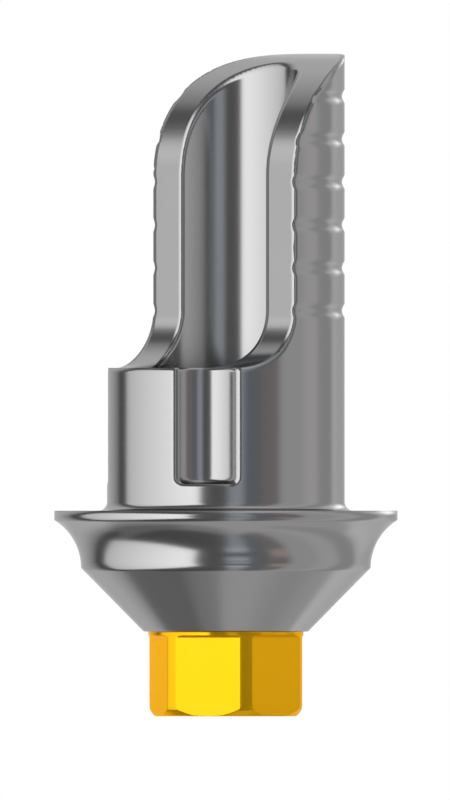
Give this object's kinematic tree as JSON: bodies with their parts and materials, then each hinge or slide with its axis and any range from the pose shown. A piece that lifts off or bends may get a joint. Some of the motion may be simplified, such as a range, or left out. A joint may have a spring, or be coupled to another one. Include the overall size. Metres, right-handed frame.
{
  "type": "dental abutment",
  "caption": "One-piece screw-retained titanium base for a dental crown: half-open grooved post, rim, hollow collar, bevel and a gold-coloured hexagon.",
  "frame": {"origin": "centre of the hexagon's end face, on the implant axis", "axes": "+Z along the implant axis from the hexagon to the post's top; the cut-away window faces -Y; +X completes the right-handed frame"},
  "size_m": [0.0062, 0.0062, 0.0118],
  "materials": {
    "titanium": "fine-turned titanium, bright; the hexagon is anodised gold"
  },
  "bodies": {
    "root": {"abutment": "titanium"}
  },
  "joints": []
}
